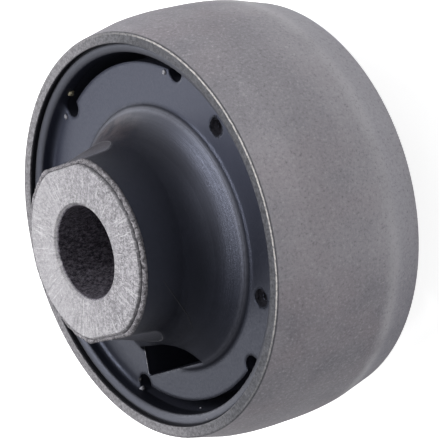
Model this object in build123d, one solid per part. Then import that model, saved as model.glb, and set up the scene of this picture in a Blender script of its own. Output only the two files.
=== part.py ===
from build123d import *
import math
import os

# A bonded rubber bush. A metal core on the centre line carries a moulded rubber body,
# and a thin formed sleeve holds the rubber on the outside.
# Z runs along the bore, the plane Z = 0 halves the length, and the end with the pocket faces +Z.
# The two kidney-shaped voids and the two flats of the core face +Y and -Y.
# Half sections are drawn with the radius along X and the height along Y, then turned about Z.

# Core
core_length = 49.6
core_radius = 13.7
core_flat_depth = 0.8
core_corner_rounding = 6.0
core_edge_chamfer = 0.3
bore_radius = 7.1
bore_chamfer = 0.5

# Sleeve: a short straight land, a shallow belly and a taper drawn in at each end
sleeve_length = 27.6
sleeve_wall = 1.75
belly_radius = 33.1
belly_land = 4.0
belly_drop = 0.45
taper_length = 5.8
taper_angle = 13.3
taper_blend = 6.0
rim_edge_radius = 0.4
rim_inner_radius = 0.15

# Rubber along the sleeve: a lip stands behind the rim, with a narrow groove beside the metal
groove_depth = 1.3
groove_floor_radius = 29.4
lip_set_back = 0.75
lip_outer_radius = 29.3
lip_inner_radius = 28.0
lip_slope = 0.45
lip_outer_rounding = 0.2
lip_inner_rounding = 0.35

# Rubber face between the lip and the cone
face_depth = 3.25
face_fillet = 0.8

# Rubber neck: a drafted skin round the core
skin_thickness = 0.7
skin_set_back = 0.4
skin_rounding = 0.25
neck_draft = 6.8

# Flare at the foot of the neck, a low cone whose centre is set off at an angle from +X
flare_offset = 1.1
flare_offset_angle = -54.0
flare_reach = 5.7
flare_rise = 0.7
flare_slope = 30.0
flare_rounding = 1.2
flare_foot_reach = 0.55
flare_foot_fillet = 0.6
throat_fillet = 7.0

# Tongue-shaped facets, where the flats of the core run out into the cone
facet_skin = 0.5
facet_height = 6.2
facet_draft = 5.5
facet_break_angle = 16.0
facet_sweep_radius = 14.6
facet_sweep_angle = 32.0

# Kidney-shaped voids, right through the rubber, with a round bulb at each end
void_width = 1.75
void_half_angle = 32.5
void_edge_rounding = 0.3
bulb_radius = 1.55

# Pin marks in the rubber face, each a shallow dimple with a narrow hole in its floor
pin_pitch_radius = 24.1
pin_angle = 57.9
dimple_radius = 1.35
dimple_depth = 0.9
pin_hole_radius = 0.6
pin_hole_depth = 3.5

# Pocket at the foot of the cone, on the -Y side of the +Z end only
pocket_depth = 12.0
pocket_left = 12.6
pocket_left_slant = 0.7
pocket_shoulder = 1.9
pocket_shoulder_rounding = 5.5
pocket_tip = 3.3
pocket_clearance = 2.0
pocket_width_left = 4.9
pocket_width_right = 4.1
pocket_corner = 0.4

# Places that follow from the sizes above
core_top = core_length / 2
core_flat = core_radius - core_flat_depth
rim_plane = sleeve_length / 2
taper_plane = rim_plane - taper_length
taper_start_radius = belly_radius - belly_drop
rim_radius = taper_start_radius - taper_length * math.tan(math.radians(taper_angle))
face_plane = rim_plane - face_depth
skin_top = core_top - skin_set_back
skin_radius = core_radius + skin_thickness
neck_foot_radius = skin_radius + (skin_top - face_plane) * math.tan(math.radians(neck_draft))
flare_radius = skin_radius + flare_reach
pocket_inner = skin_radius + pocket_clearance
void_outer_radius = lip_inner_radius
void_inner_radius = void_outer_radius - void_width


def both_ends(half):
    """Half section of the +Z end, joined to its mirror image."""
    return half + mirror(half, Plane.XZ)


def turned(section):
    """Solid made by turning a half section about the centre line."""
    return revolve(Plane.XZ * section, Axis.Z)


def inside_barrel(inset):
    """Half section of all that lies within the sleeve's outline, moved inwards by the inset."""
    belly = belly_radius - inset
    land_end = (belly, belly_land / 2)
    taper_start = (taper_start_radius - inset, taper_plane)
    outline = [
        Line((0, 0), (belly, 0)),
        Line((belly, 0), land_end),
        TangentArc(land_end, taper_start, tangent=(0, 1)),
        Polyline(taper_start, (rim_radius - inset, rim_plane), (0, rim_plane), (0, 0)),
    ]
    section = make_face(outline)
    slope_break = section.vertices().sort_by_distance(taper_start)[0]
    return fillet(slope_break, taper_blend)


def outer_sleeve():
    """Formed ring of one wall thickness, with its rim corners rounded."""
    section = inside_barrel(0) - inside_barrel(sleeve_wall)
    rim = section.vertices().group_by(Axis.Y)[-1].sort_by(Axis.X)
    section = fillet(rim[-1], rim_edge_radius)
    rim = section.vertices().group_by(Axis.Y)[-1].sort_by(Axis.X)
    section = fillet(rim[0], rim_inner_radius)
    return turned(both_ends(section))


def core_blank():
    """Round bar with its two flats, before it is bored."""
    bar = Circle(core_radius) & Rectangle(2 * core_radius, 2 * core_flat)
    bar = fillet(bar.vertices(), core_corner_rounding)
    return extrude(bar, core_top, both=True)


def inner_core():
    """Bored bar with chamfers round its end faces and at both mouths of the bore."""
    core = core_blank()
    core = chamfer(core.faces().filter_by(Axis.Z).edges(), core_edge_chamfer)
    core -= Cylinder(bore_radius, core_length)
    mouths = core.edges().filter_by(lambda edge: edge.is_closed)
    return chamfer(mouths, bore_chamfer)


def rubber_section():
    """Half section of the +Z end of the rubber, trimmed to the inside of the sleeve."""
    lip_crest = rim_plane - lip_set_back
    groove_floor = rim_plane - groove_depth
    corners = [
        (0, 0, 0),
        (belly_radius, 0, 0),
        (belly_radius, groove_floor, 0),
        (groove_floor_radius, groove_floor, 0),
        (lip_outer_radius, lip_crest, lip_outer_rounding),
        (lip_inner_radius, lip_crest - lip_slope, lip_inner_rounding),
        (lip_inner_radius, face_plane, face_fillet),
        (neck_foot_radius, face_plane, 0),
        (skin_radius, skin_top, skin_rounding),
        (0, skin_top, 0),
    ]
    points = [(radius, height) for radius, height, rounding in corners]
    roundings = [rounding for radius, height, rounding in corners]
    moulding = make_face(FilletPolyline(*points, radius=roundings, close=True))
    quadrant = Rectangle(belly_radius, rim_plane, align=(Align.MIN, Align.MIN))
    return moulding - (quadrant - inside_barrel(sleeve_wall))


def flare():
    """Low cone that is joined to the +Z end of the neck, before its foot and throat are rounded."""
    crest = face_plane + flare_rise
    foot = flare_radius + flare_foot_reach
    top = crest + (flare_radius - bore_radius) * math.tan(math.radians(flare_slope))
    points = [(0, 0), (foot, 0), (foot, face_plane), (flare_radius, crest), (bore_radius, top), (0, top)]
    section = FilletPolyline(*points, radius=[0, 0, 0, flare_rounding, 0, 0], close=True)
    return Rot(0, 0, flare_offset_angle) * Pos(flare_offset, 0, 0) * turned(make_face(section))


def moulding():
    """Turned rubber with a flare at each end, its throats and feet rounded."""
    one_end = flare()
    body = turned(both_ends(rubber_section())) + one_end + mirror(one_end, Plane.XY)
    throats = body.edges().filter_by(GeomType.BSPLINE)
    body = fillet(throats, throat_fillet)
    foot = flare_radius + flare_foot_reach
    feet = body.edges().filter_by(lambda edge: edge.is_closed and abs(edge.radius - foot) < skin_rounding)
    return fillet(feet, flare_foot_fillet)


def kidney_void():
    """Void on the +Y side: an arc-shaped slot whose bulbs touch its outer wall."""
    bulb_pitch = void_outer_radius - bulb_radius
    closeness = (void_inner_radius**2 + bulb_pitch**2 - bulb_radius**2) / (2 * void_inner_radius * bulb_pitch)
    inner_half_angle = void_half_angle - math.degrees(math.acos(closeness))
    outer_wall = CenterArc((0, 0), void_outer_radius, 90 - void_half_angle, 2 * void_half_angle)
    inner_wall = CenterArc((0, 0), void_inner_radius, 90 - inner_half_angle, 2 * inner_half_angle)
    outline = [outer_wall, inner_wall]
    for end, side in ((0, -1), (1, 1)):
        turn = math.radians(90 + side * void_half_angle)
        centre = bulb_pitch * Vector(math.cos(turn), math.sin(turn))
        tip = centre + side * bulb_radius * Vector(-math.sin(turn), math.cos(turn))
        outline.append(ThreePointArc(outer_wall @ end, tip, inner_wall @ end))
    plan = make_face(outline)
    inner_corners = plan.vertices().sort_by_distance((0, 0))[:2]
    return extrude(fillet(inner_corners, void_edge_rounding), core_top, both=True)


def facet_cut():
    """Space beside the core's +Y flat at the +Z end: drafted above a crease, swept outwards below it."""
    flat = core_flat + facet_skin
    crease_height = rim_plane + facet_height
    crease = (flat + (skin_top - crease_height) * math.tan(math.radians(facet_draft)), crease_height)
    turn = math.radians(facet_break_angle)
    sweep = JernArc(crease, (math.sin(turn), -math.cos(turn)), facet_sweep_radius, facet_sweep_angle)
    tip = sweep @ 1
    rest = Polyline(tip, (tip.X, core_top), (flat, core_top), (flat, skin_top), crease)
    return extrude(Plane.YZ * make_face([sweep, rest]), core_radius, both=True)


def pin_mark(angle):
    """Dimple and narrow hole sunk into the +Z face, at an angle from +X."""
    dimple = Cylinder(dimple_radius, 2 * dimple_depth)
    hole = Cylinder(pin_hole_radius, 2 * pin_hole_depth)
    return Rot(0, 0, angle) * Pos(pin_pitch_radius, 0, face_plane) * (dimple + hole)


def pocket():
    """Pocket open to the +Z end, its right end rounded off to a tip at the outer wall."""
    inner_left = pocket_left - pocket_left_slant
    corners = [
        (-inner_left, -pocket_inner, pocket_corner),
        (-pocket_left, -pocket_inner - pocket_width_left, pocket_corner),
        (pocket_tip, -pocket_inner - pocket_width_right, 0),
        (pocket_shoulder, -pocket_inner, pocket_shoulder_rounding),
    ]
    points = [(x, y) for x, y, rounding in corners]
    roundings = [rounding for x, y, rounding in corners]
    plan = make_face(FilletPolyline(*points, radius=roundings, close=True))
    floor = face_plane - pocket_depth
    return Pos(0, 0, floor) * extrude(plan, core_top - floor)


def rubber_body():
    """Rubber moulded between the core and the sleeve, alike at both ends but for the pocket."""
    void = kidney_void()
    facet = facet_cut()
    marks = [pin_mark(90 + side * pin_angle) for side in (-1, 1)]
    body = moulding() - core_blank()
    for half_turn in (0, 180):
        one_end = [Rot(0, 0, half_turn) * shape for shape in (facet, *marks)]
        other_end = [mirror(shape, Plane.XY) for shape in one_end]
        body -= [Rot(0, 0, half_turn) * void, *one_end, *other_end]
    return body - pocket()


os.makedirs("parts", exist_ok=True)
for build in (outer_sleeve, inner_core, rubber_body):
    export_step(build(), f"parts/{build.__name__}.step")
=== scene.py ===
import math

import bmesh
import bpy
from mathutils import Matrix, Vector, noise
from mathutils.bvhtree import BVHTree


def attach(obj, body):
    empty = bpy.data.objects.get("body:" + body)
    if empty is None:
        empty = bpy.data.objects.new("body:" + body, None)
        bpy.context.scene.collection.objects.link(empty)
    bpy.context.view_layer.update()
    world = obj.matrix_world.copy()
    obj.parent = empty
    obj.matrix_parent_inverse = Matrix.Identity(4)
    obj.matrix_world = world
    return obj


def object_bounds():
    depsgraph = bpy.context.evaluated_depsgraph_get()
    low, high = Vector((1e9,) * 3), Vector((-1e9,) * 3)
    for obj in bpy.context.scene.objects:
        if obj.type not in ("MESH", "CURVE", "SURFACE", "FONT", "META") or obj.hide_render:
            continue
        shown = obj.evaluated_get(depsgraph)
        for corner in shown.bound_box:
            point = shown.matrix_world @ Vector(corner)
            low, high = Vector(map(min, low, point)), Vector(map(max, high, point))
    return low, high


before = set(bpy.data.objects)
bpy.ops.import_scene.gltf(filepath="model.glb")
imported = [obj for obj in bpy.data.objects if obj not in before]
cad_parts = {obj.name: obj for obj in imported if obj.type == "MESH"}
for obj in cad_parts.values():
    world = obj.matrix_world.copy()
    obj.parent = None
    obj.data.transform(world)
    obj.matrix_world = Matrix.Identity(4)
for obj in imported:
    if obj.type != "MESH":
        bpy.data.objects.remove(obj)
cad_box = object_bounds()
MM = 0.001


# Camera: where the photograph was taken from, in the part's frame

CAMERA_PLACE = Vector((297.36, 2.48, 220.02)) * MM
CAMERA_RIGHT = Vector((0.5785, -0.2557, -0.7746))
CAMERA_BACK = Vector((0.8025, 0.0082, 0.5966))
FOCAL_PIXELS = 2400
IMAGE_PIXELS = 440
SENSOR_WIDTH = 36.0


def make_camera():
    camera = bpy.data.objects.new("camera", bpy.data.cameras.new("camera"))
    bpy.context.scene.collection.objects.link(camera)
    back = CAMERA_BACK.normalized()
    up = back.cross(CAMERA_RIGHT).normalized()
    right = up.cross(back)
    turn = Matrix((right, up, back)).transposed().to_4x4()
    camera.matrix_world = Matrix.Translation(CAMERA_PLACE) @ turn
    camera.data.sensor_width = SENSOR_WIDTH
    camera.data.lens = SENSOR_WIDTH * FOCAL_PIXELS / IMAGE_PIXELS
    camera.data.clip_start = 0.01
    camera.data.clip_end = 20
    bpy.context.scene.camera = camera


make_camera()


# Places on the part, in millimetres: radii about the bore or the flare's centre, heights from mid-length

RIM_PLANE = 13.8
RIM_RADIUS = 31.3
GROOVE_RADIUS = 29.9
LIP_RADIUS = 28.0
FACE_PLANE = 10.55
FLARE_CENTRE = Vector((0.65, -0.89))
FLARE_RADIUS = 20.1
SKIN_TOP = 24.4
CORE_RADIUS = 13.7
BORE_RADIUS = 7.1

# Pin marks: their distance from the bore's line, and their angle from the Y axis
PIN_PITCH = 24.1
PIN_ANGLE = 57.9

# Facets, as depths from the plane Y = 0 by height: a drafted flat, a crease and an arc out into the cone
FLAT_DEPTH = 13.4
CREASE_DEPTH = 13.82
CREASE_HEIGHT = 20.0
FLAT_SLOPE = (CREASE_DEPTH - FLAT_DEPTH) / (SKIN_TOP - CREASE_HEIGHT)
SWEEP_CENTRE = Vector((27.86, 24.02))
SWEEP_RADIUS = 14.6
FACET_FOOT = 16.0


# Shader building: every texture is placed in the part's own millimetres

class Finish:
    """A node material, with short calls for the nodes that the finishes share."""

    def __init__(self, name):
        self.material = bpy.data.materials.new(name)
        self.material.use_nodes = True
        self.tree = self.material.node_tree
        self.shader = self.tree.nodes["Principled BSDF"]
        object_place = self.tree.nodes.new("ShaderNodeTexCoord").outputs["Object"]
        self.place = self.scaled(object_place, (1 / MM, 1 / MM, 1 / MM))
        split = self.tree.nodes.new("ShaderNodeSeparateXYZ")
        self.feed(split.inputs[0], self.place)
        self.x, self.y, self.z = split.outputs
        self.height = self.math("ABSOLUTE", self.z)
        self.radius = self.distance(self.x, self.y)

    def feed(self, socket, value):
        """Links a socket to a node's output, or gives it a fixed value."""
        if isinstance(value, bpy.types.NodeSocket):
            self.tree.links.new(value, socket)
        elif isinstance(value, tuple) and len(value) == 3 and socket.type == "RGBA":
            socket.default_value = (*value, 1)
        else:
            socket.default_value = value

    def set(self, **values):
        for name, value in values.items():
            self.feed(self.shader.inputs[name.replace("_", " ")], value)

    def math(self, operation, one, other=0.0):
        node = self.tree.nodes.new("ShaderNodeMath")
        node.operation = operation
        self.feed(node.inputs[0], one)
        self.feed(node.inputs[1], other)
        return node.outputs[0]

    def product(self, *factors):
        result = factors[0]
        for factor in factors[1:]:
            result = self.math("MULTIPLY", result, factor)
        return result

    def distance(self, x, y):
        return self.math("SQRT", self.math("ADD", self.product(x, x), self.product(y, y)))

    def blend(self, one, other, share):
        """Sum of two textures, in which the second has the share given."""
        return self.math("ADD", self.product(one, 1 - share), self.product(other, share))

    def frayed(self, value, reach, texture):
        """Value that a texture moves by up to the reach, so that a limit set on it comes out ragged."""
        return self.math("ADD", value, self.product(texture, reach))

    def ramp(self, value, low, high, out_low=0.0, out_high=1.0, smooth=True):
        """Share that goes from out_low to out_high while the value goes from low to high."""
        node = self.tree.nodes.new("ShaderNodeMapRange")
        node.interpolation_type = "SMOOTHSTEP" if smooth else "LINEAR"
        self.feed(node.inputs["Value"], value)
        for name, level in (("From Min", low), ("From Max", high), ("To Min", out_low), ("To Max", out_high)):
            self.feed(node.inputs[name], level)
        return node.outputs["Result"]

    def band(self, value, start, full, fall, end):
        """Share that rises from start to full and goes back to none from fall to end."""
        return self.product(self.ramp(value, start, full), self.ramp(value, end, fall))

    def scaled(self, vector, scales):
        node = self.tree.nodes.new("ShaderNodeVectorMath")
        node.operation = "MULTIPLY"
        self.feed(node.inputs[0], vector)
        self.feed(node.inputs[1], scales)
        return node.outputs[0]

    def joined(self, x, y, z):
        node = self.tree.nodes.new("ShaderNodeCombineXYZ")
        for socket, value in zip(node.inputs, (x, y, z)):
            self.feed(socket, value)
        return node.outputs[0]

    def radial_grain(self, fineness, stretch):
        """Place whose texture runs in streaks along the radius."""
        across = self.math("DIVIDE", fineness, self.math("MAXIMUM", self.radius, 0.5))
        return self.joined(
            self.product(self.x, across),
            self.product(self.y, across),
            self.product(self.radius, stretch),
        )

    def noise(self, scale, detail=3.0, roughness=0.55, vector=None):
        """Cloudy texture; its scale is in lumps to the millimetre."""
        node = self.tree.nodes.new("ShaderNodeTexNoise")
        self.feed(node.inputs["Vector"], self.place if vector is None else vector)
        node.inputs["Scale"].default_value = scale
        node.inputs["Detail"].default_value = detail
        node.inputs["Roughness"].default_value = roughness
        return node.outputs["Fac"]

    def mix(self, share, one, other):
        """Colour between two others, in which the second has the share given."""
        node = self.tree.nodes.new("ShaderNodeMix")
        node.data_type = "RGBA"
        self.feed(node.inputs["Factor"], share)
        self.feed(node.inputs[6], one)
        self.feed(node.inputs[7], other)
        return node.outputs[2]

    def layered(self, colour, *layers):
        """Colour with others laid over it in turn, each with its own share of cover."""
        for share, cover in layers:
            colour = self.mix(share, colour, cover)
        return colour

    def bump(self, height, depth, normal=None):
        """Relief whose height, from 0 to 1, stands for a depth in millimetres."""
        node = self.tree.nodes.new("ShaderNodeBump")
        node.inputs["Distance"].default_value = depth * MM
        self.feed(node.inputs["Height"], height)
        if normal is not None:
            self.feed(node.inputs["Normal"], normal)
        return node.outputs["Normal"]

    def soft_edges(self, radius):
        """Normals that roll over the edges, as worn or moulded edges do."""
        node = self.tree.nodes.new("ShaderNodeBevel")
        node.samples = 6
        node.inputs["Radius"].default_value = radius * MM
        return node.outputs["Normal"]


def barrel_colour(look, clouds, grain):
    """Outside of the sleeve: cloudy grey steel, with painted light on the +X side, on the turn into the far
    taper, on the far taper and towards the far end, and painted shade low on the -Y side and high on the +Y
    side.
    """
    tinted = look.ramp(look.noise(0.1, 3, 0.5, look.scaled(look.place, (1.0, 1.3, 0.8))), 0.44, 0.66, 0, 0.6)
    # Painted light: lighter on the +X side, fading out towards -Y.
    painted_light_near_side = look.product(look.ramp(look.x, 9.0, 29.0), look.ramp(look.y, -25.0, -4.0), 0.48)
    # Painted shade: darker low on the -Y side.
    painted_shade_low_side = look.ramp(look.y, -14.0, -31.0, 0, 0.45)
    turn_place = look.frayed(look.z, 1.6, look.noise(0.16, 3, 0.6))
    turn = look.band(turn_place, -9.2, -7.0, -6.8, -4.4)
    # Painted light: a pale, cloudy band where the belly turns into the far taper.
    painted_light_turn = look.product(turn, look.ramp(clouds, 0.3, 0.6, 0.35, 1.0), 0.7)
    # Painted light: the far taper lighter and bluer, as light from behind and below makes it.
    painted_light_far_taper = look.ramp(turn_place, -6.8, -8.2, 0, 0.5)
    # Painted shade: darker on the +Y side towards the near end.
    painted_shade_near_top = look.product(look.ramp(look.y, 8.0, 20.0), look.ramp(look.z, -7.0, 3.0), 0.3)
    # Painted light: lighter towards the far end, fading out low on the -Y side.
    far_side = look.product(look.ramp(look.z, 2.0, -9.0), look.ramp(look.y, -22.0, -5.0), 0.35)
    specks = look.noise(1.1, 5, 0.85)
    scuffs = look.noise(1.0, 4, 0.75, look.scaled(look.place, (0.25, 1.1, 2.2)))
    return look.layered(
        look.mix(look.ramp(clouds, 0.34, 0.66), (0.19, 0.182, 0.207), (0.308, 0.29, 0.316)),
        (tinted, (0.278, 0.24, 0.262)),
        (painted_light_near_side, (0.41, 0.395, 0.42)),
        (painted_shade_low_side, (0.185, 0.18, 0.2)),
        (painted_light_turn, (0.47, 0.46, 0.485)),
        (painted_light_far_taper, (0.33, 0.328, 0.37)),
        (painted_shade_near_top, (0.185, 0.181, 0.201)),
        (far_side, (0.47, 0.46, 0.485)),
        (look.ramp(grain, 0.5, 0.72, 0, 0.62), (0.52, 0.5, 0.53)),
        (look.ramp(grain, 0.48, 0.3, 0, 0.62), (0.1, 0.095, 0.106)),
        (look.ramp(specks, 0.62, 0.76, 0, 0.45), (0.6, 0.575, 0.59)),
        (look.ramp(specks, 0.37, 0.24, 0, 0.45), (0.09, 0.086, 0.095)),
        (look.ramp(scuffs, 0.66, 0.76, 0, 0.35), (0.52, 0.5, 0.51)),
    )


def corner_wear_and_highlight(look, side):
    """Share of bright metal along the outer corner of the sleeve's end face: partly wear, partly a painted
    highlight, strongest on the +X side and towards +Y.
    """
    ragged = look.frayed(look.radius, 0.2, look.noise(0.9, 4, 0.7))
    return look.product(
        look.band(ragged, RIM_RADIUS - 0.35, RIM_RADIUS - 0.28, RIM_RADIUS - 0.1, RIM_RADIUS),
        look.ramp(look.height, RIM_PLANE - 0.5, RIM_PLANE - 0.3),
        look.ramp(look.noise(1.6, 4, 0.85), 0.35, 0.55, 0.15, 1.0),
        look.ramp(side, 0.35, 0.95, 0.12, 1.0),
        look.ramp(look.y, -25.0, -10.0, 0.15, 1.0),
        0.8,
    )


def sleeve_finish():
    """Blasted grey steel: fine pitted grain, cloudy tint, painted light and shade on the barrel, stained end
    face, and a corner worn bright with a painted highlight on it.
    """
    look = Finish("sleeve_metal")
    clouds = look.noise(0.075, 4, 0.6)
    grain = look.noise(2.2, 5, 0.8)
    side = look.frayed(look.math("DIVIDE", look.x, look.radius), 0.5, look.noise(0.12))

    end_face = look.ramp(look.height, RIM_PLANE - 0.3, RIM_PLANE - 0.1)
    end_grit = look.ramp(look.noise(1.9, 5, 0.85), 0.34, 0.66)
    end_clean = look.mix(end_grit, (0.075, 0.073, 0.08), (0.235, 0.228, 0.245))
    end_stained = look.mix(end_grit, (0.02, 0.021, 0.026), (0.078, 0.079, 0.092))
    streaks = look.noise(1.0, 3, 0.6, look.radial_grain(46.0, 0.7))
    end_colour = look.layered(
        end_clean,
        (look.ramp(side, -0.1, 0.7), end_stained),
        (look.ramp(streaks, 0.58, 0.72, 0, 0.25), (0.2, 0.19, 0.19)),
    )

    below_end = look.ramp(look.height, RIM_PLANE, RIM_PLANE - 0.04)
    groove_wall = look.product(look.ramp(look.radius, GROOVE_RADIUS + 0.05, GROOVE_RADIUS - 0.05), below_end)
    film_edge = look.frayed(look.height, 0.12, look.noise(0.7, 3, 0.7))
    bare = look.ramp(film_edge, RIM_PLANE - 0.4, RIM_PLANE - 0.3)
    wall_colour = look.mix(bare, (0.018, 0.018, 0.023), look.mix(0.7, (0.04, 0.039, 0.045), end_clean))

    colour = look.layered(
        barrel_colour(look, clouds, grain),
        (end_face, end_colour),
        (corner_wear_and_highlight(look, side), (0.5, 0.475, 0.46)),
        (groove_wall, wall_colour),
    )
    roughness = look.ramp(grain, 0.2, 0.8, 0.5, 0.72, smooth=False)
    normal = look.bump(look.blend(grain, look.noise(5.5, 3, 0.7), 0.4), 0.1, look.soft_edges(0.2))
    normal = look.bump(look.product(end_face, streaks), 0.08, normal)
    look.set(Base_Color=colour, Roughness=roughness, Normal=normal, Metallic=0.2)
    return look.material


def facet_painted_light_share(look):
    """Share of the painted light on the facets, which grows towards their tops."""
    lean = look.product(look.math("SUBTRACT", SKIN_TOP, look.height), FLAT_SLOPE)
    fall = look.math("SUBTRACT", look.height, SWEEP_CENTRE.y)
    sweep = look.math("SQRT", look.math("SUBTRACT", SWEEP_RADIUS**2, look.product(fall, fall)))
    flat = look.math("ADD", lean, FLAT_DEPTH)
    depth = look.math("MAXIMUM", flat, look.math("SUBTRACT", SWEEP_CENTRE.x, sweep))
    clear = look.math("ABSOLUTE", look.math("SUBTRACT", look.math("ABSOLUTE", look.y), depth))
    return look.product(
        look.ramp(clear, 0.16, 0.06),
        look.ramp(look.height, FACET_FOOT - 0.6, FACET_FOOT),
        look.ramp(look.height, FACET_FOOT, CREASE_HEIGHT + 1.0, 0.12, 0.85),
    )


def pin_stain(look):
    """Share of the dark, ragged stain round each pin mark."""
    angle = math.radians(PIN_ANGLE)
    pin_x = look.math("SUBTRACT", look.math("ABSOLUTE", look.x), PIN_PITCH * math.sin(angle))
    pin_y = look.math("SUBTRACT", look.math("ABSOLUTE", look.y), PIN_PITCH * math.cos(angle))
    ragged = look.frayed(look.distance(pin_x, pin_y), 1.6, look.noise(1.1, 3, 0.7))
    at_face = look.ramp(look.height, FACE_PLANE - 0.55, FACE_PLANE - 0.25)
    return look.product(look.ramp(ragged, 2.42, 2.25), at_face)


def moulded_colour(look, from_crest, grain):
    """Whole rubber: bluish black; a brown, bloomed patch with a painted highlight; painted highlights on the
    flank and crest, which is also worn grey; painted light on the face, lip, hollows and facets.
    """
    clouds = look.ramp(look.noise(0.16, 4, 0.6), 0.3, 0.7)
    # Brown bloom with a painted warm highlight, towards -X and +Y just above the face, inside the crest.
    bloom_and_highlight = look.product(
        look.ramp(look.x, 9.0, -1.0),
        look.ramp(look.y, 9.0, 15.0),
        look.ramp(look.height, FACE_PLANE + 0.35, FACE_PLANE + 1.45),
        look.ramp(from_crest, 1.7, 0.9),
        look.ramp(look.noise(0.5, 4, 0.7), 0.3, 0.65),
        0.5,
    )
    face_height = look.ramp(look.height, FACE_PLANE - 0.35, FACE_PLANE - 0.05)
    face = look.product(look.ramp(from_crest, 0.2, 1.1), face_height)
    # Painted light: the face outside the crest lighter than the rubber, more so towards +Y, for its sheen.
    painted_light_face_colour = look.mix(look.ramp(look.y, -12.0, 14.0), (0.006, 0.0065, 0.01), (0.022, 0.024, 0.036))
    # Painted highlight: a lighter band on the flank inside the crest, on the +X side and towards +Y.
    flank_sides = look.product(look.ramp(look.x, 0.0, 10.0), look.ramp(look.y, -13.0, 6.0))
    flank = look.product(look.band(from_crest, -6.6, -1.6, 0.0, 0.35), flank_sides, 0.8)
    # Crest partly worn grey, partly a painted highlight that grows towards +Y.
    crest_wear_and_highlight_share = look.product(look.ramp(grain, 0.3, 0.6, 0.6, 1.0), look.ramp(look.y, -16.0, 2.0, 0.2, 0.75))
    crest = look.product(look.band(from_crest, -0.9, -0.2, 0.05, 0.4), crest_wear_and_highlight_share)
    # Painted sheen: the lip ring lighter than the rest of the rubber.
    lip_height = look.ramp(look.height, RIM_PLANE - 1.6, RIM_PLANE - 1.3)
    lip = look.product(look.ramp(look.radius, LIP_RADIUS - 0.1, LIP_RADIUS + 0.1), lip_height)
    # Painted light: lighter inside the pocket and voids, below the face.
    painted_light_deep = look.ramp(look.height, FACE_PLANE - 0.25, FACE_PLANE - 0.75, 0, 0.8)
    # Painted light: the facets lighter than the rubber, the +Y one most.
    facet = look.product(facet_painted_light_share(look), look.ramp(grain, 0.3, 0.6, 0.5, 0.9))
    painted_light_facet_colour = look.mix(look.ramp(look.y, -1.0, 1.0), (0.105, 0.106, 0.128), (0.13, 0.13, 0.153))
    return look.layered(
        look.mix(clouds, (0.0034, 0.0036, 0.0058), (0.0068, 0.0072, 0.0115)),
        (bloom_and_highlight, (0.085, 0.066, 0.068)),
        (face, painted_light_face_colour),
        (flank, (0.045, 0.046, 0.056)),
        (crest, (0.1, 0.102, 0.12)),
        (lip, (0.044, 0.045, 0.053)),
        (painted_light_deep, (0.03, 0.032, 0.045)),
        (facet, painted_light_facet_colour),
    )


def rubber_finish():
    """Moulded black rubber, with turning lines from the mould, stained pin marks and a torn skin edge."""
    look = Finish("rubber")
    grain = look.noise(2.2, 4, 0.7)
    grit = look.noise(2.4, 5, 0.85)
    flare_x = look.math("SUBTRACT", look.x, FLARE_CENTRE.x)
    flare_y = look.math("SUBTRACT", look.y, FLARE_CENTRE.y)
    from_flare = look.distance(flare_x, flare_y)
    from_crest = look.math("SUBTRACT", from_flare, FLARE_RADIUS)

    stain = pin_stain(look)
    dust = look.ramp(look.noise(2.8, 5, 0.85), 0.62, 0.76, 0, 0.45)
    torn = look.ramp(look.frayed(look.height, 0.9, look.noise(0.9, 4, 0.75)), SKIN_TOP - 0.1, SKIN_TOP + 0.25)
    torn_colour = look.mix(look.ramp(grit, 0.38, 0.66), (0.012, 0.012, 0.014), (0.24, 0.225, 0.24))
    colour = look.layered(
        moulded_colour(look, from_crest, grain),
        (stain, (0.002, 0.002, 0.003)),
        (dust, (0.13, 0.13, 0.15)),
        (look.product(torn, look.ramp(look.x, -9.0, 0.0, 0.25, 1.0)), torn_colour),
    )

    broken = look.math("MAXIMUM", torn, stain)
    roughness = look.math("ADD", look.ramp(grain, 0.3, 0.7, 0.34, 0.46), look.product(broken, 0.4))
    inside = look.math("MINIMUM", look.math("MAXIMUM", look.math("ADD", from_crest, 0.8), -3.0), 1.1)
    lines = look.noise(1.0, 2, 0.9, look.joined(look.product(from_flare, 3.6), 0.0, 0.0))
    on_cone = look.ramp(look.band(from_crest, -4.1, -1.6, 0.1, 0.5), 0.0, 1.0, 0.3, 1.0)
    normal = look.bump(look.product(inside, inside, 0.1), 0.25, look.soft_edges(0.85))
    normal = look.bump(look.product(lines, on_cone), 0.05, normal)
    normal = look.bump(look.blend(grain, look.noise(6.0, 2, 0.6), 0.3), 0.03, normal)
    normal = look.bump(look.product(grit, broken), 0.25, normal)
    look.set(Base_Color=colour, Roughness=roughness, Normal=normal)
    look.set(Specular_IOR_Level=0.5, Specular_Tint=(0.69, 0.75, 1.0))
    return look.material


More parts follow.
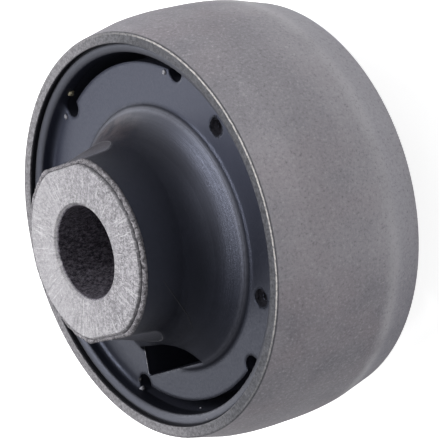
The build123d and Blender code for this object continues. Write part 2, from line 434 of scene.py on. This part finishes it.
def cut_face_colour(look, grit, grain, streaks):
    """End face of the core: bright grit, radial streaks, a painted highlight towards -X, painted glints and a
    soiled edge.
    """
    clouds = look.noise(0.16, 3, 0.6)
    # Painted highlight: the end face lighter towards -X.
    painted_shine = look.ramp(look.frayed(look.x, 6.0, clouds), 8.0, -6.0, 0, 0.4)
    # Painted glints: bright points over the grit; the same noise also gives dark specks.
    painted_glints_and_specks = look.noise(2.3, 4, 0.95)
    edge_place = look.frayed(look.radius, 1.2, look.noise(1.1, 4, 0.85))
    soiled_edge = look.ramp(edge_place, CORE_RADIUS + 0.15, CORE_RADIUS + 0.6, 0, 0.85)
    return look.layered(
        look.mix(look.ramp(grit, 0.38, 0.62), (0.09, 0.087, 0.097), (0.4, 0.388, 0.415)),
        (look.ramp(grain, 0.52, 0.7, 0, 0.6), (0.7, 0.69, 0.71)),
        (look.ramp(grain, 0.46, 0.3, 0, 0.6), (0.09, 0.088, 0.097)),
        (look.ramp(clouds, 0.35, 0.7, 0, 0.35), (0.33, 0.32, 0.345)),
        (painted_shine, (0.47, 0.46, 0.48)),
        (look.ramp(streaks, 0.56, 0.67, 0, 0.5), (0.68, 0.67, 0.69)),
        (look.ramp(streaks, 0.44, 0.33, 0, 0.5), (0.12, 0.117, 0.13)),
        (look.ramp(painted_glints_and_specks, 0.63, 0.7, 0, 0.9), (0.95, 0.94, 0.96)),
        (look.ramp(painted_glints_and_specks, 0.36, 0.28, 0, 0.7), (0.07, 0.068, 0.075)),
        (soiled_edge, (0.05, 0.049, 0.056)),
    )


def bore_colour(look):
    """Bore of the core: dark steel, scored and scratched."""
    scores = look.noise(1.0, 4, 0.85, look.scaled(look.place, (2.6, 2.6, 1.5)))
    scratches = look.noise(1.0, 2, 0.9, look.scaled(look.place, (0.9, 0.9, 4.6)))
    return look.layered(
        look.mix(look.ramp(scores, 0.38, 0.7), (0.03, 0.028, 0.04), (0.36, 0.33, 0.39)),
        (look.ramp(scratches, 0.6, 0.72, 0, 0.4), (0.32, 0.3, 0.34)),
    )


def core_finish():
    """Cut steel: a bright gritty end face with radial scratches, and a dark scored bore."""
    look = Finish("core_metal")
    grit = look.noise(2.0, 5, 0.9)
    grain = look.noise(3.6, 3, 0.8)
    streaks = look.noise(1.0, 4, 0.75, look.radial_grain(26.0, 0.22))
    mouth = look.frayed(look.radius, 0.35, look.noise(0.8, 4, 0.7))
    in_bore = look.ramp(mouth, BORE_RADIUS + 0.42, BORE_RADIUS + 0.24)
    colour = look.mix(in_bore, cut_face_colour(look, grit, grain, streaks), bore_colour(look))
    roughness = look.ramp(grain, 0.25, 0.75, 0.42, 0.68)
    normal = look.bump(look.blend(grit, grain, 0.3), 0.22, look.soft_edges(0.2))
    normal = look.bump(streaks, 0.1, normal)
    look.set(Base_Color=colour, Roughness=roughness, Normal=normal, Metallic=0.35)
    return look.material


def torn_finish(name, grey_share, light, gloss=0.35):
    """Torn or worn rubber: dark crumbs with grey, matt breaks between them."""
    look = Finish(name)
    crumbs = look.noise(2.6, 5, 0.9)
    patches = look.noise(0.7, 4, 0.8)
    share = look.product(look.ramp(crumbs, 0.36, 0.62), look.ramp(patches, 0.3, 0.6, grey_share, 1.0))
    colour = look.mix(share, (0.014, 0.0135, 0.017), light)
    look.set(Base_Color=colour, Roughness=look.ramp(crumbs, 0.3, 0.7, 0.6, 0.85))
    look.set(Normal=look.bump(crumbs, 0.12), Specular_IOR_Level=gloss)
    return look.material


def cream_finish():
    """Cream-coloured chip, darker where its surface is lower."""
    look = Finish("cream_chip")
    chip_noise = look.noise(3.0, 4, 0.7)
    look.set(Base_Color=look.mix(look.ramp(chip_noise, 0.35, 0.6), (0.16, 0.14, 0.1), (0.5, 0.46, 0.33)))
    look.set(Roughness=look.ramp(chip_noise, 0.3, 0.7, 0.6, 0.8), Normal=look.bump(chip_noise, 0.1))
    return look.material


# Finishes of the record's material slots, then those of the detail pieces
FINISHES = {
    "sleeve_metal": sleeve_finish(),
    "rubber": rubber_finish(),
    "core_metal": core_finish(),
    "skin_edge": torn_finish("skin_edge", 0.4, (0.34, 0.325, 0.35)),
    "pin_fill": torn_finish("pin_fill", 0.0, (0.012, 0.012, 0.015), gloss=0.0),
    # Light grey worn rubber, which on the nibs and the pocket's left mouth stands for painted highlights.
    "rubbed": torn_finish("rubbed", 0.7, (0.36, 0.36, 0.4)),
    "facet_rim": torn_finish("facet_rim", 0.35, (0.27, 0.27, 0.3)),
    "fold": torn_finish("fold", 0.5, (0.035, 0.036, 0.046)),
    "cream_chip": cream_finish(),
}
SLOTS = {"outer_sleeve": "sleeve_metal", "rubber_body": "rubber", "inner_core": "core_metal"}

for name, slot in SLOTS.items():
    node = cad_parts[name]
    node.data.materials.clear()
    node.data.materials.append(FINISHES[slot])


# Seating: the detail pieces take their places from the solids that carry them, found by rays

OUTSIDE_NECK = 17.5
OUTSIDE_CONE = 25.0
TRACE_PIXELS = 0.7


def surface(name):
    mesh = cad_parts[name].data
    places = [vertex.co for vertex in mesh.vertices]
    return BVHTree.FromPolygons(places, [face.vertices for face in mesh.polygons])


SURFACES = {name: surface(name) for name in SLOTS}


def radius_at(name, angle, height):
    """Outer radius of a node at an angle and a height, found from outside the neck."""
    out = Vector((math.cos(angle), math.sin(angle), 0))
    start = out * OUTSIDE_NECK * MM + Vector((0, 0, height * MM))
    return SURFACES[name].ray_cast(start, -out)[0].to_2d().length / MM


def seen_at(x, y):
    """Place and normal, in millimetres, of what shows at a point of the photograph."""
    turn = bpy.context.scene.camera.matrix_world.to_3x3()
    half = IMAGE_PIXELS / 2
    sight = (turn @ Vector((x - half, half - y, -FOCAL_PIXELS))).normalized()
    hits = [tree.ray_cast(CAMERA_PLACE, sight) for tree in SURFACES.values()]
    met = [hit for hit in hits if hit[0] is not None]
    place, normal = min(met, key=lambda hit: hit[3])[:2]
    return place / MM, normal


def traced(pixels):
    """Places and normals along a line that is drawn through points of the photograph."""
    places = []
    for one, other in zip(pixels, pixels[1:]):
        count = max(1, round(math.dist(one, other) / TRACE_PIXELS))
        for step in range(count):
            share = step / count
            places.append(seen_at(*(start + (stop - start) * share for start, stop in zip(one, other))))
    return places + [seen_at(*pixels[-1])]


def facet_depth(height):
    """Distance of a facet's surface from the plane Y = 0."""
    if height > CREASE_HEIGHT:
        return CREASE_DEPTH - (height - CREASE_HEIGHT) * FLAT_SLOPE
    return SWEEP_CENTRE.x - math.sqrt(SWEEP_RADIUS**2 - (height - SWEEP_CENTRE.y) ** 2)


def facet_border(side, end):
    """Places and normals round the tongue-shaped border of a facet, found by stepping out from its middle."""
    middle_height, top_height = 19.0, SKIN_TOP - 0.25
    fan_degrees, steps = range(130, 411, 2), range(10, 300)
    step_length, tolerance = 0.04, 0.02
    inwards = Vector((0, -side, 0))
    places = []
    for degrees in fan_degrees:
        turn = math.radians(degrees)
        found = None
        for step in steps:
            x = step_length * step * math.cos(turn)
            height = middle_height + step_length * step * math.sin(turn)
            if height > top_height:
                break
            spot = Vector((x, OUTSIDE_CONE * side, height * end)) * MM
            place, normal = SURFACES["rubber_body"].ray_cast(spot, inwards)[:2]
            if place is None or abs(abs(place.y) / MM - facet_depth(height)) > tolerance:
                break
            found = (place / MM, normal)
        if found is not None:
            places.append(found)
    return places


# Detail pieces: each is a closed mesh that stands a little way out of the solid that carries it

SKIN_STEPS = 900
PIN_STEPS = 48
BEAD_STEPS = 8


def crinkle(x, y, z, size, seed):
    """Noise from -1 to 1 whose lumps are about as wide as the size given."""
    return noise.noise(Vector((x, y, z)) / size + Vector((seed, 2 * seed, -seed)))


def turns(count):
    """Angles of evenly spaced steps round a circle."""
    return [2 * math.pi * step / count for step in range(count)]


def skin_over(shape, loops, joined=False):
    """Skin over closed loops of points; the last loop is joined to the first, or both are capped."""
    rings = [[shape.verts.new(point) for point in loop] for loop in loops]
    following = rings[1:] + rings[:1] if joined else rings[1:]
    for ring, after in zip(rings, following):
        for i, start in enumerate(ring):
            shape.faces.new((ring[i - 1], start, after[i], after[i - 1]))
    if not joined:
        shape.faces.new(rings[0])
        shape.faces.new(rings[-1])


def skin_edge(shape, side):
    """Torn edge of the rubber skin, all round the end of the core."""
    sections = []
    for angle in turns(SKIN_STEPS):
        metal = radius_at("inner_core", angle, SKIN_TOP + 0.05)
        skin = radius_at("rubber_body", angle, SKIN_TOP - 0.5)
        width = skin - metal
        cos, sin = math.cos(angle), math.sin(angle)
        x, y = skin * cos, skin * sin
        rise = 0.16 + 0.24 * crinkle(x, y, 0, 0.9, 3 * side) + 0.22 * crinkle(x, y, 0, 0.35, 5 * side)
        rise = min(max(rise, 0.0), 0.36) * min(max(1.2 + 1.5 * cos, 0.1), 1)
        fray = 0.22 * crinkle(x, y, 4, 0.8, 7 * side) + 0.12 * crinkle(x, y, 4, 0.25, 9 * side)
        groove = 0.1 + 0.14 * abs(crinkle(x, y, 8, 0.7, 11 * side))
        # Radius and height over the skin, from the metal outwards and back underneath
        section = (
            (metal - 0.02, -0.15),
            (metal + groove * width, 0.3 * rise),
            (metal + (groove + 0.22) * width, rise),
            (metal + 0.72 * width + 0.5 * fray, 0.85 * rise),
            (skin + 0.6 * fray, -0.1 + 0.3 * rise),
            (skin + 0.03, -0.42),
            (metal + 0.3 * width, -0.6),
        )
        points = [(radius * cos, radius * sin, side * (SKIN_TOP + height)) for radius, height in section]
        sections.append(points)
    skin_over(shape, zip(*sections), joined=True)


# Rings of a pin mark's torn rubber, from its floor over its lip to its underside: radius, depth, roughness
PIN_RINGS = (
    (0.12, 1.8, 0.3),
    (0.35, 1.6, 0.4),
    (0.54, 1.2, 0.3),
    (0.68, 0.78, 0.12),
    (0.95, 0.66, 0.2),
    (1.15, 0.5, 0.4),
    (1.24, 0.04, 0.1),
    (1.42, 0.08, 0.02),
    (1.35, 2.2, 0.0),
    (0.3, 2.4, 0.0),
)
PIN_LIP_RISE = 0.08


def pin_fill(shape, angle, side, seed):
    """Torn rubber in a pin mark: a rough hollow with a ragged lip."""
    centre = Vector((math.cos(angle), math.sin(angle), 0)) * PIN_PITCH
    loops = []
    for reach, depth, rough in PIN_RINGS:
        loop = []
        for turn in turns(PIN_STEPS):
            x, y = math.cos(turn), math.sin(turn)
            ragged = reach * (1 + 0.3 * crinkle(x, y, reach, 0.6, seed) * min(1, reach))
            place = centre + Vector((x, y, 0)) * ragged
            sunk = depth + rough * crinkle(place.x, place.y, reach, 0.32, seed + side)
            loop.append((place.x, place.y, side * (FACE_PLANE - max(sunk, -PIN_LIP_RISE))))
        loops.append(loop)
    skin_over(shape, loops)


def bead(shape, places, width, rise):
    """Fine moulded line, tapered at its ends and half sunk in the surface that carries it."""
    loops = []
    last = len(places) - 1
    for i, (place, normal) in enumerate(places):
        along = (places[min(i + 1, last)][0] - places[max(i - 1, 0)][0]).normalized()
        across = normal.cross(along).normalized()
        thin = math.sin(math.pi * (i + 0.3) / (last + 0.6)) ** 0.5
        thin *= 1 + 0.3 * crinkle(*place, 0.7, 2)
        loop = []
        for turn in turns(BEAD_STEPS):
            spot = across * math.cos(turn) * width / 2 + normal * math.sin(turn) * rise
            loop.append(place + spot * thin)
        loops.append(loop)
    skin_over(shape, loops)


def crumb(shape, place, normal, size, seed):
    """Rough grain, a little flattened, that is sunk into the surface that carries it."""
    flatness = 0.7
    made = bmesh.ops.create_icosphere(shape, subdivisions=3, radius=1)
    turn = normal.to_track_quat("Z", "Y").to_matrix()
    for vert in made["verts"]:
        lump = 1 + 0.35 * crinkle(*vert.co, 0.8, seed) + 0.12 * crinkle(*vert.co, 0.3, seed)
        spot = Vector((vert.co.x, vert.co.y, vert.co.z * flatness)) * lump * size
        vert.co = place + turn @ spot


def add_piece(name, finish, slot, build, *sizes):
    """Piece that a build function shapes in millimetres and that rides on the root body."""
    mesh = bpy.data.meshes.new(name)
    shape = bmesh.new()
    build(shape, *sizes)
    bmesh.ops.scale(shape, vec=(MM, MM, MM), verts=shape.verts)
    bmesh.ops.recalc_face_normals(shape, faces=shape.faces)
    for face in shape.faces:
        face.smooth = True
    shape.to_mesh(mesh)
    shape.free()
    piece = bpy.data.objects.new(name, mesh)
    bpy.context.scene.collection.objects.link(piece)
    mesh.materials.append(FINISHES[finish])
    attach(piece, "root")


# Torn rubber at both ends, and the line round the border of each facet
ENDS = {"near": 1, "far": -1}
FACETS = {"upper": 1, "lower": -1}
PIN_DEGREES = (90 - PIN_ANGLE, 90 + PIN_ANGLE, 270 - PIN_ANGLE, 270 + PIN_ANGLE)
PIN_SEED = 4
RIM_WIDTH = 0.13
RIM_RISE = 0.03

for end, side in ENDS.items():
    add_piece(f"skin_edge_{end}", "skin_edge", "rubber", skin_edge, side)
    for number, degrees in enumerate(PIN_DEGREES):
        sizes = (math.radians(degrees), side, PIN_SEED + number)
        add_piece(f"pin_fill_{end}_{number}", "pin_fill", "rubber", pin_fill, *sizes)

for facet, facet_side in FACETS.items():
    for end, side in ENDS.items():
        border = facet_border(facet_side, side)
        add_piece(f"facet_rim_{facet}_{end}", "facet_rim", "rubber", bead, border, RIM_WIDTH, RIM_RISE)

# The fold on the cone and the left mouth of the pocket: finish, width and points of the photograph
LINES = {
    "cone_fold": ("fold", 0.16, (163, 280), (172, 293), (180, 304), (187, 314), (191, 323), (193, 332)),
    # The pocket's left mouth is a pale line: a painted highlight on its rounded edge.
    "pocket_mouth": ("rubbed", 0.2, (144, 346), (146, 356), (147.5, 366), (149, 375)),
}
LINE_RISE = 0.045

for name, (finish, width, *pixels) in LINES.items():
    add_piece(name, finish, "rubber", bead, traced(pixels), width, LINE_RISE)

# Nibs and grains: point of the photograph, finish and radius
CRUMBS = {
    # The pale nibs at the ends of the voids are painted highlights on rounded edges.
    "nib_left": (66, 116.5, "rubbed", 0.42),
    "nib_top": (164.2, 72.2, "rubbed", 0.42),
    "nib_low": (140.5, 379.5, "fold", 0.4),
    "nib_under": (142.5, 388.5, "rubbed", 0.42),
    "chip_void": (71, 93, "cream_chip", 0.55),
    "chip_rim": (201, 408, "rubbed", 0.2),
    "chip_low": (207, 419, "rubbed", 0.2),
}

for seed, (name, (x, y, finish, size)) in enumerate(CRUMBS.items()):
    place, normal = seen_at(x, y)
    add_piece(name, finish, "rubber", crumb, place, normal, size, seed)


# Stage: a pale floor, plain soft lamps and an even world

def floor_finish():
    """Pale paper with a glow that only the camera sees, so that it throws no extra light on the part."""
    material = bpy.data.materials.new("floor_paper")
    material.use_nodes = True
    nodes, links = material.node_tree.nodes, material.node_tree.links
    shader = nodes["Principled BSDF"]
    shader.inputs["Base Color"].default_value = (0.62, 0.62, 0.63, 1)
    shader.inputs["Roughness"].default_value = 1
    shader.inputs["Specular IOR Level"].default_value = 0
    shader.inputs["Emission Color"].default_value = (0.88, 0.88, 0.88, 1)
    path = nodes.new("ShaderNodeLightPath")
    links.new(path.outputs["Is Camera Ray"], shader.inputs["Emission Strength"])
    return material


def make_floor():
    half = 3.0
    low = cad_box[0].z
    corners = [(-half, -half, low), (half, -half, low), (half, half, low), (-half, half, low)]
    mesh = bpy.data.meshes.new("floor")
    mesh.from_pydata(corners, [], [(0, 1, 2, 3)])
    mesh.materials.append(floor_finish())
    floor = bpy.data.objects.new("floor", mesh)
    bpy.context.scene.collection.objects.link(floor)


def make_world():
    world = bpy.data.worlds.new("studio")
    world.use_nodes = True
    world.node_tree.nodes["Background"].inputs["Color"].default_value = (1, 1, 1, 1)
    world.node_tree.nodes["Background"].inputs["Strength"].default_value = 0.27
    bpy.context.scene.world = world


def soft_lamp(name, place, size, power):
    """Soft lamp that faces the part; the long side of its sheet runs along Y."""
    data = bpy.data.lights.new(name, "AREA")
    data.shape = "ELLIPSE"
    data.size, data.size_y = size
    data.energy = power
    lamp = bpy.data.objects.new(name, data)
    out = Vector(place).normalized()
    across = Vector((0, 1, 0)).cross(out).normalized()
    turn = Matrix((across.cross(out), across, out)).transposed().to_4x4()
    lamp.matrix_world = Matrix.Translation(place) @ turn
    bpy.context.scene.collection.objects.link(lamp)


make_floor()
make_world()
soft_lamp("key", (-0.06, 0.22, 0.87), (1.05, 0.13), 10.4)
soft_lamp("far_side", (-0.69, 0.0, 0.58), (0.6, 0.6), 1.9)
soft_lamp("above", (-0.74, 0.46, 0.25), (0.5, 0.5), 2.2)
soft_lamp("near_side", (0.6, 0.34, 0.58), (0.5, 0.5), 0.6)

bpy.context.scene.view_settings.view_transform = "Standard"
